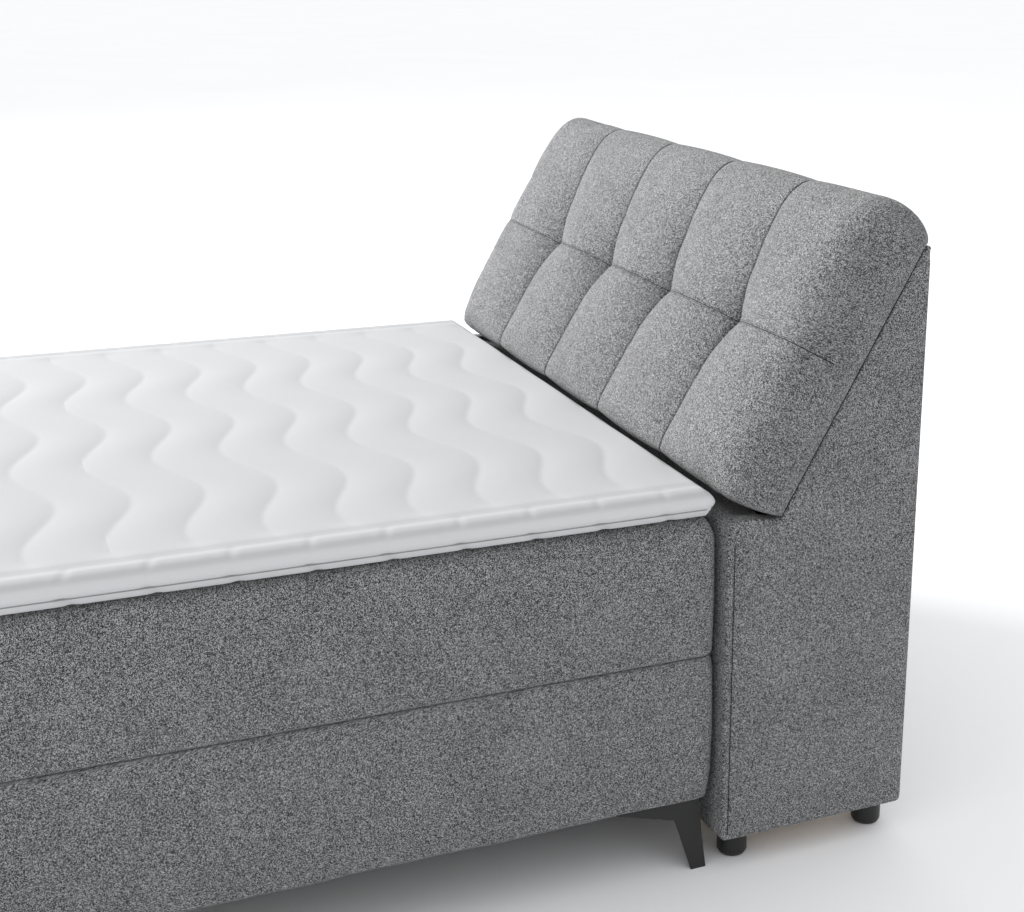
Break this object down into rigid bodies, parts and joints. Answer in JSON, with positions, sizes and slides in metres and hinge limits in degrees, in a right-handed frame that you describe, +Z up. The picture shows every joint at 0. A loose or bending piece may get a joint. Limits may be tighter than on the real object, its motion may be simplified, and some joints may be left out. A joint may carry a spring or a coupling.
{
  "type": "adjustable bed",
  "caption": "Upholstered adjustable box-spring bed with a motor-lifted sectional deck, mattress, quilted topper and a storage headboard with a hinged padded backrest.",
  "frame": {"origin": "on the floor, under the middle of the whole bed's bounding box", "axes": "+Y towards the head end, +Z up, +X to the right-hand long side seen from the foot end"},
  "size_m": [1.436, 2.363, 1.117],
  "materials": {
    "grey_weave": "woven melange upholstery, mid grey with dark and light yarns",
    "white_knit": "quilted white knit",
    "black_felt": "black spun felt dust cover",
    "chipboard": "raw chipboard",
    "plywood": "birch plywood",
    "dark_steel": "dark powder coat",
    "bright_steel": "zinc-plated",
    "leg_black": "black powder coat",
    "black_plastic": "moulded black plastic"
  },
  "bodies": {
    "root": {"side_pad_left": "grey_weave", "side_pad_right": "grey_weave", "foot_pad": "grey_weave", "head_pad": "grey_weave", "bedding_fold_head": "grey_weave", "bedding_fold_thigh": "grey_weave", "mattress_seat": "grey_weave", "headboard_side_left": "grey_weave", "headboard_side_right": "grey_weave", "headboard_front": "grey_weave", "headboard_back": "grey_weave", "topper_seat": "white_knit", "dust_cover": "black_felt", "side_board_left": "chipboard", "side_board_right": "chipboard", "foot_board": "chipboard", "head_board": "chipboard", "storage_floor": "chipboard", "seat_deck": "plywood", "frame_rail_left": "dark_steel", "frame_rail_right": "dark_steel", "cross_tube_head": "dark_steel", "cross_tube_foot": "dark_steel", "coupler_left": "dark_steel", "coupler_right": "dark_steel", "head_hinge_rod": "bright_steel", "thigh_hinge_rod": "bright_steel", "lid_hinge": "bright_steel", "leg_head_right": "leg_black", "leg_head_left": "leg_black", "leg_foot_left": "leg_black", "leg_foot_right": "leg_black", "motor_housing": "black_plastic", "power_inlet": "black_plastic", "glide_front_left": "black_plastic", "glide_rear_left": "black_plastic", "glide_front_right": "black_plastic", "glide_rear_right": "black_plastic"},
    "head_section": {"head_bar_left": "dark_steel", "head_bar_right": "dark_steel", "head_end_bar": "dark_steel", "head_deck": "plywood", "mattress_head": "grey_weave", "topper_head": "white_knit"},
    "thigh_section": {"thigh_bar_left": "dark_steel", "thigh_bar_right": "dark_steel", "knee_hinge_rod": "bright_steel", "thigh_deck": "plywood", "mattress_thigh": "grey_weave", "topper_thigh": "white_knit"},
    "calf_section": {"calf_bar_left": "dark_steel", "calf_bar_right": "dark_steel", "calf_end_bar": "dark_steel", "calf_deck": "plywood", "mattress_calf": "grey_weave", "topper_calf": "white_knit"},
    "head_lever": {"head_lever": "dark_steel"},
    "leg_lever": {"leg_lever": "dark_steel"},
    "headboard_lid": {"lid_board": "plywood", "backrest_cushion": "grey_weave"}
  },
  "joints": [
    {"name": "head_lift", "type": "hinge", "parent": "root", "child": "head_section", "pos_m": [0, 0.0585, 0.361], "axis": [1, 0, 0], "range_deg": [0, 50], "deforming": ["bedding_fold_head"]},
    {"name": "thigh_lift", "type": "hinge", "parent": "root", "child": "thigh_section", "pos_m": [0, -0.2215, 0.361], "axis": [-1, 0, 0], "range_deg": [0, 30], "deforming": ["bedding_fold_thigh"]},
    {"name": "calf_fold", "type": "hinge", "parent": "thigh_section", "child": "calf_section", "pos_m": [0, -0.5815, 0.361], "axis": [-1, 0, 0], "range_deg": [-42, 0]},
    {"name": "head_lever_turn", "type": "hinge", "parent": "root", "child": "head_lever", "pos_m": [0, 0.0805, 0.316], "axis": [1, 0, 0], "range_deg": [0, 50]},
    {"name": "leg_lever_turn", "type": "hinge", "parent": "root", "child": "leg_lever", "pos_m": [0, -0.2345, 0.316], "axis": [-1, 0, 0], "range_deg": [0, 30]},
    {"name": "lid_lift", "type": "hinge", "parent": "root", "child": "headboard_lid", "pos_m": [0, 1.1765, 1.052], "axis": [-1, 0, 0], "range_deg": [0, 45]}
  ],
  "couplings": [
    {"joint": "calf_fold", "follows": "thigh_lift", "ratio": -1.4},
    {"joint": "head_lever_turn", "follows": "head_lift", "ratio": 1},
    {"joint": "leg_lever_turn", "follows": "thigh_lift", "ratio": 1}
  ]
}
